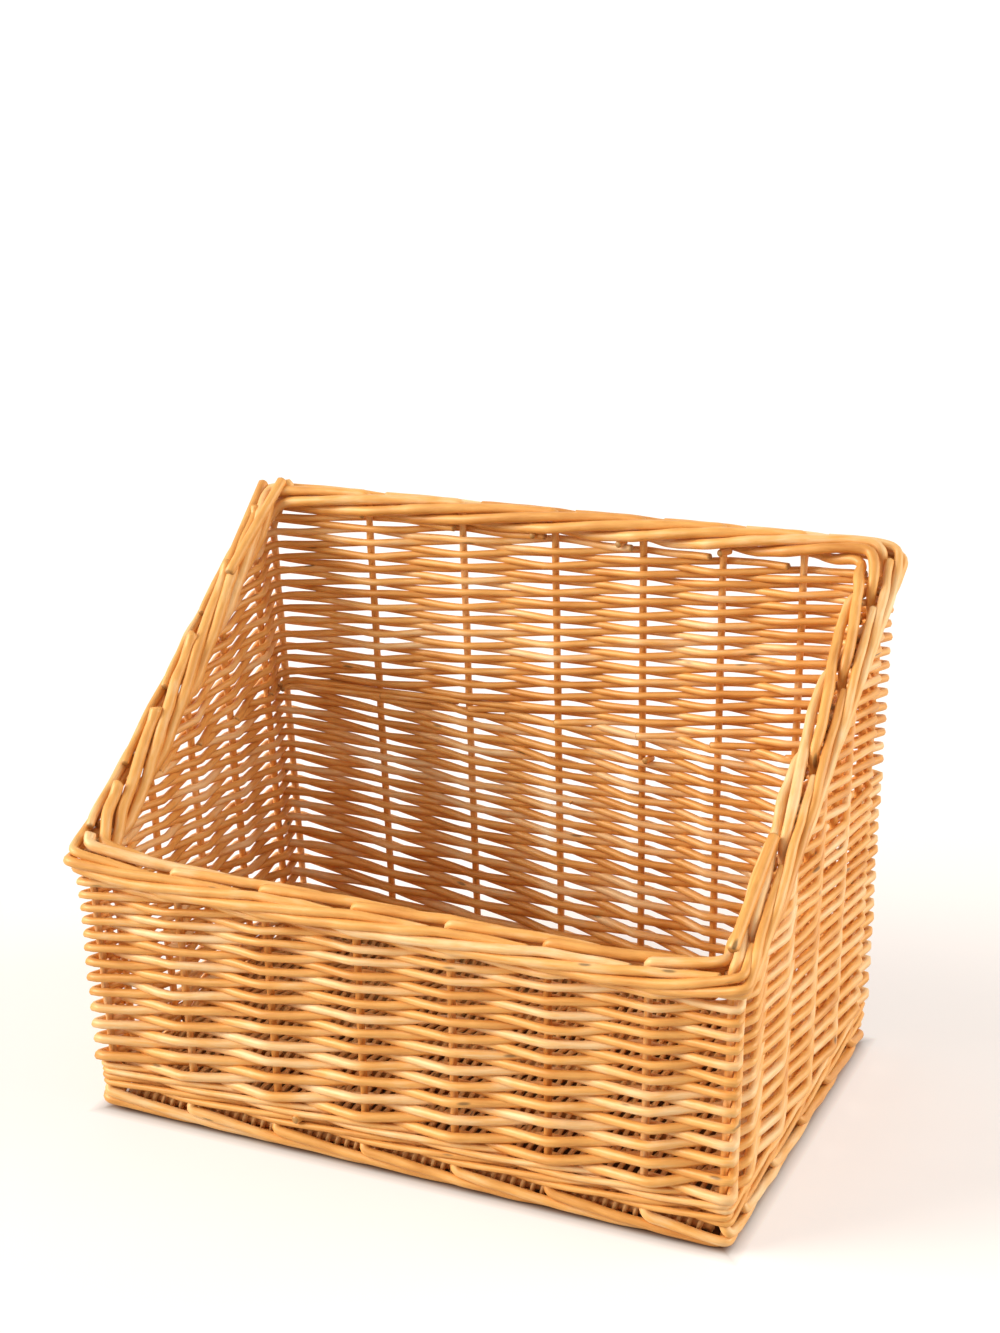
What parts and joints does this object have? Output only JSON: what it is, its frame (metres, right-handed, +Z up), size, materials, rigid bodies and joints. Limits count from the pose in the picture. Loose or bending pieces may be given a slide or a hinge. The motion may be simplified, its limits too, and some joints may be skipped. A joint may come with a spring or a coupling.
{
  "type": "wicker storage basket",
  "caption": "Open willow storage basket with a tall back, a low front and straight sloping sides, woven on upright stakes between a rolled rim border and a foot border.",
  "frame": {"origin": "middle of the basket's box on the ground it stands on", "axes": "+X along the width to the right seen from the low front, +Y towards the tall back, +Z up"},
  "size_m": [0.4299, 0.2616, 0.324],
  "materials": {
    "stake_willow": "peeled buff willow rod, smooth with a soft sheen",
    "weave_willow": "peeled buff willow weaver, smooth with a soft sheen",
    "upsett_willow": "peeled buff willow rod, smooth with a soft sheen",
    "base_willow": "peeled buff willow, duller than the walls"
  },
  "bodies": {
    "root": {"corner_stake_front_left": "stake_willow", "front_stake_1": "stake_willow", "front_stake_2": "stake_willow", "front_stake_3": "stake_willow", "front_stake_4": "stake_willow", "front_stake_5": "stake_willow", "front_stake_6": "stake_willow", "corner_stake_front_right": "stake_willow", "right_stake_1": "stake_willow", "right_stake_2": "stake_willow", "right_stake_3": "stake_willow", "right_stake_4": "stake_willow", "right_stake_5": "stake_willow", "corner_stake_back_right": "stake_willow", "back_stake_1": "stake_willow", "back_stake_2": "stake_willow", "back_stake_3": "stake_willow", "back_stake_4": "stake_willow", "back_stake_5": "stake_willow", "back_stake_6": "stake_willow", "corner_stake_back_left": "stake_willow", "left_stake_1": "stake_willow", "left_stake_2": "stake_willow", "left_stake_3": "stake_willow", "left_stake_4": "stake_willow", "left_stake_5": "stake_willow", "base_stick_1": "base_willow", "base_stick_2": "base_willow", "base_stick_3": "base_willow", "base_stick_4": "base_willow", "base_stick_5": "base_willow", "base_edge_stick_front": "base_willow", "base_edge_stick_back": "base_willow", "base_weave": "base_willow", "upsett_front": "upsett_willow", "upsett_right": "upsett_willow", "upsett_back": "upsett_willow", "upsett_left": "upsett_willow", "lower_weave_front": "weave_willow", "lower_weave_right": "weave_willow", "lower_weave_back": "weave_willow", "lower_weave_left": "weave_willow", "upper_weave_right": "weave_willow", "upper_weave_back": "weave_willow", "upper_weave_left": "weave_willow"}
  },
  "joints": []
}
